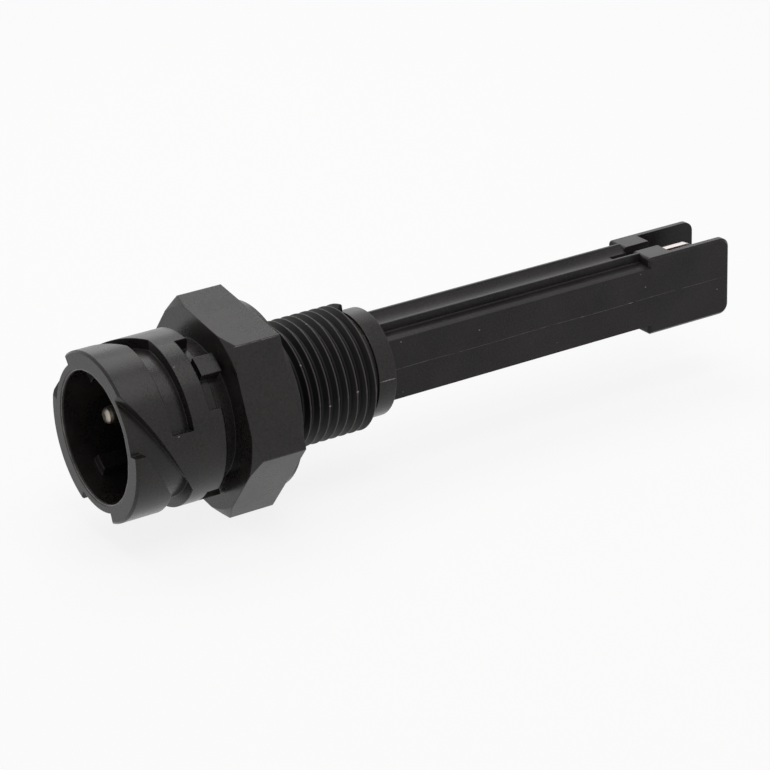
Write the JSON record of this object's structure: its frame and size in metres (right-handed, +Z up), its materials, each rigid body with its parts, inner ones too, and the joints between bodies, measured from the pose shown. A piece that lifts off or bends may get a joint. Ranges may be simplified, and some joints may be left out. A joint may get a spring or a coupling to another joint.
{
  "type": "coolant level sensor",
  "caption": "Screw-in coolant level sensor: black moulded hex body with bayonet plug socket, threaded shank, ribbed stem and forked tip guarding a metal sensing blade.",
  "frame": {"origin": "centre of the round sealing face, on the probe's axis, where the thread begins", "axes": "+X along the probe from the sealing face to the forked tip, the plug socket on the -X side; +Y and -Y out of the flat sides of the stem; +Z up, over the ribbed top of the stem"},
  "size_m": [0.1037, 0.0306, 0.029],
  "materials": {
    "connector_polymer": "fine matt moulded",
    "stem_polymer": "smooth moulded",
    "carrier_polymer": "smooth moulded",
    "tinned_contact": "turned and tin plated",
    "blade_steel": "stamped stainless",
    "lead_metal": "stamped sheet",
    "seal_rubber": "moulded",
    "casting_resin": "cast",
    "board_laminate": "solder mask",
    "component_epoxy": "moulded",
    "varistor_coat": "coated",
    "capacitor_ceramic": "fired ceramic",
    "solder_alloy": "reflowed"
  },
  "bodies": {
    "root": {"connector_body": "connector_polymer", "probe_stem": "stem_polymer", "pin_carrier": "carrier_polymer", "contact_pin_signal": "tinned_contact", "contact_pin_ground": "tinned_contact", "electrode_blade": "blade_steel", "pin_seals": "seal_rubber", "stem_seal_ring": "seal_rubber", "blade_seal": "seal_rubber", "lead_strip_signal": "lead_metal", "lead_strip_ground": "lead_metal", "electrode_lead": "lead_metal", "potting_compound": "casting_resin", "circuit_board": "board_laminate", "level_chip": "component_epoxy", "switch_transistor": "component_epoxy", "polarity_diode": "component_epoxy", "surge_varistor": "varistor_coat", "filter_capacitors": "capacitor_ceramic", "chip_resistors": "component_epoxy", "solder_joints": "solder_alloy"}
  },
  "joints": []
}
